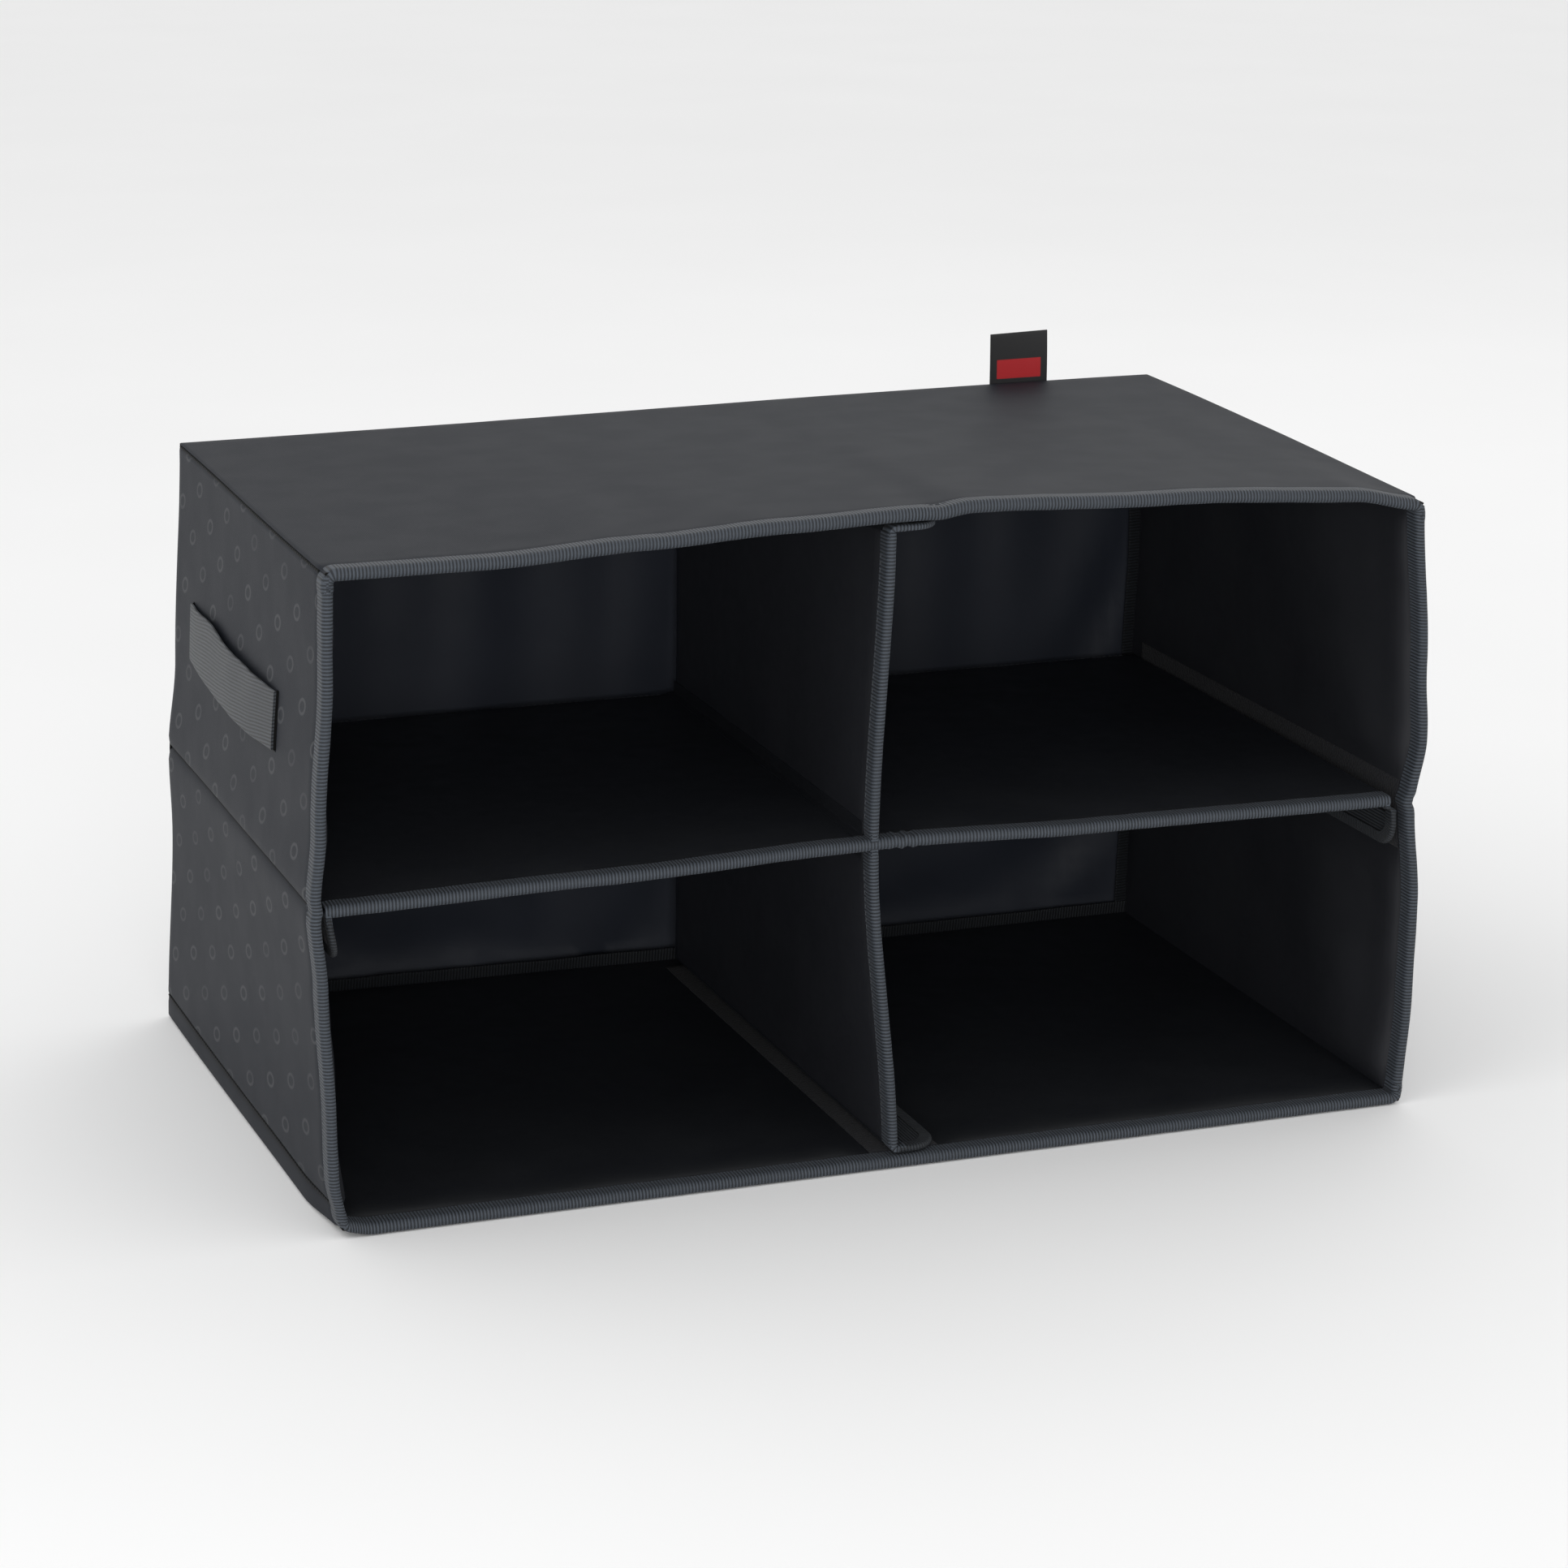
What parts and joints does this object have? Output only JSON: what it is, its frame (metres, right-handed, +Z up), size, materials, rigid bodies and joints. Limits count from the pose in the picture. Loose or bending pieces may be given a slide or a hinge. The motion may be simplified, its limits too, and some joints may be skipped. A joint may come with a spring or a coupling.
{
  "type": "foldable textile cupboard organiser",
  "caption": "Open-fronted folding textile organiser with stiffened walls, side carrying handles and a removable shelf-and-divider insert held by hook-and-loop flaps.",
  "frame": {"origin": "on the floor under the middle of the bounding box", "axes": "+X to the right seen from the open front, -Y out of the open front, +Z up"},
  "size_m": [0.6318, 0.35, 0.37],
  "materials": {
    "outer_cloth": "satin coated woven polyester",
    "lining_cloth": "smooth coated lining with a soft sheen",
    "binding_tape": "ribbed grosgrain tape",
    "board": "plain grey-brown fibreboard",
    "hook_and_loop": "napped hook-and-loop tape",
    "webbing": "herringbone-woven webbing",
    "label": "woven satin ribbon with a plain red block"
  },
  "bodies": {
    "shell": {"back_cover": "outer_cloth", "back_lining": "lining_cloth", "back_seam_tape_bottom": "binding_tape", "back_seam_tape_left": "binding_tape", "back_seam_tape_right": "binding_tape", "back_seam_tape_top": "binding_tape", "bottom_board_left": "board", "bottom_board_right": "board", "bottom_cover": "outer_cloth", "bottom_lining": "lining_cloth", "front_binding_bottom": "binding_tape", "front_binding_left": "binding_tape", "front_binding_right": "binding_tape", "front_binding_top": "binding_tape", "label": "label", "left_board_lower": "board", "left_board_upper": "board", "left_cover": "outer_cloth", "left_handle_tails": "webbing", "left_lining": "lining_cloth", "loop_strip_bottom": "hook_and_loop", "loop_strip_left": "hook_and_loop", "loop_strip_right": "hook_and_loop", "loop_strip_top": "hook_and_loop", "right_board_lower": "board", "right_board_upper": "board", "right_cover": "outer_cloth", "right_handle_tails": "webbing", "right_lining": "lining_cloth", "top_board_left": "board", "top_board_right": "board", "top_cover": "outer_cloth", "top_lining": "lining_cloth"},
    "left_handle": {"left_handle": "webbing"},
    "lower_divider": {"lower_divider_binding": "binding_tape", "lower_divider_board": "board", "lower_divider_cover": "lining_cloth"},
    "lower_flap": {"lower_flap": "lining_cloth", "lower_flap_binding": "binding_tape", "lower_flap_hook": "hook_and_loop"},
    "right_handle": {"right_handle": "webbing"},
    "insert": {"shelf_binding": "binding_tape", "shelf_board_left": "board", "shelf_board_right": "board", "shelf_cover": "lining_cloth"},
    "shelf_left_flap": {"shelf_left_flap": "lining_cloth", "shelf_left_flap_binding": "binding_tape", "shelf_left_flap_hook": "hook_and_loop"},
    "shelf_right_flap": {"shelf_right_flap": "lining_cloth", "shelf_right_flap_binding": "binding_tape", "shelf_right_flap_hook": "hook_and_loop"},
    "upper_divider": {"upper_divider_binding": "binding_tape", "upper_divider_board": "board", "upper_divider_cover": "lining_cloth"},
    "upper_flap": {"upper_flap": "lining_cloth", "upper_flap_binding": "binding_tape", "upper_flap_hook": "hook_and_loop"}
  },
  "joints": [
    {"name": "insert_slide", "type": "slide", "parent": "shell", "child": "insert", "axis": [0, -1, 0], "range_m": [0, 0.36]},
    {"name": "upper_divider_fold", "type": "hinge", "parent": "insert", "child": "upper_divider", "pos_m": [0.0025, -0.0035, 0.1728], "axis": [0, 1, 0], "range_deg": [0, 88]},
    {"name": "upper_flap_fold", "type": "hinge", "parent": "upper_divider", "child": "upper_flap", "pos_m": [0.0025, -0.0035, 0.33], "axis": [0, 1, 0], "range_deg": [-88, 0]},
    {"name": "lower_divider_fold", "type": "hinge", "parent": "insert", "child": "lower_divider", "pos_m": [0.0025, -0.0035, 0.1672], "axis": [0, -1, 0], "range_deg": [0, 88]},
    {"name": "lower_flap_fold", "type": "hinge", "parent": "lower_divider", "child": "lower_flap", "pos_m": [0.0025, -0.0035, 0.01], "axis": [0, -1, 0], "range_deg": [-88, 0]},
    {"name": "shelf_left_flap_fold", "type": "hinge", "parent": "insert", "child": "shelf_left_flap", "pos_m": [-0.2903, -0.0035, 0.1672], "axis": [0, -1, 0], "range_deg": [0, 88]},
    {"name": "shelf_right_flap_fold", "type": "hinge", "parent": "insert", "child": "shelf_right_flap", "pos_m": [0.2903, -0.0035, 0.1672], "axis": [0, 1, 0], "range_deg": [0, 88]},
    {"name": "left_handle_lift", "type": "hinge", "parent": "shell", "child": "left_handle", "pos_m": [-0.3003, 0.021, 0.26], "axis": [0, 1, 0], "range_deg": [0, 75]},
    {"name": "right_handle_lift", "type": "hinge", "parent": "shell", "child": "right_handle", "pos_m": [0.3003, 0.021, 0.26], "axis": [0, -1, 0], "range_deg": [0, 75]}
  ],
  "couplings": [
    {"joint": "upper_flap_fold", "follows": "upper_divider_fold", "ratio": -1},
    {"joint": "lower_flap_fold", "follows": "lower_divider_fold", "ratio": -1}
  ]
}
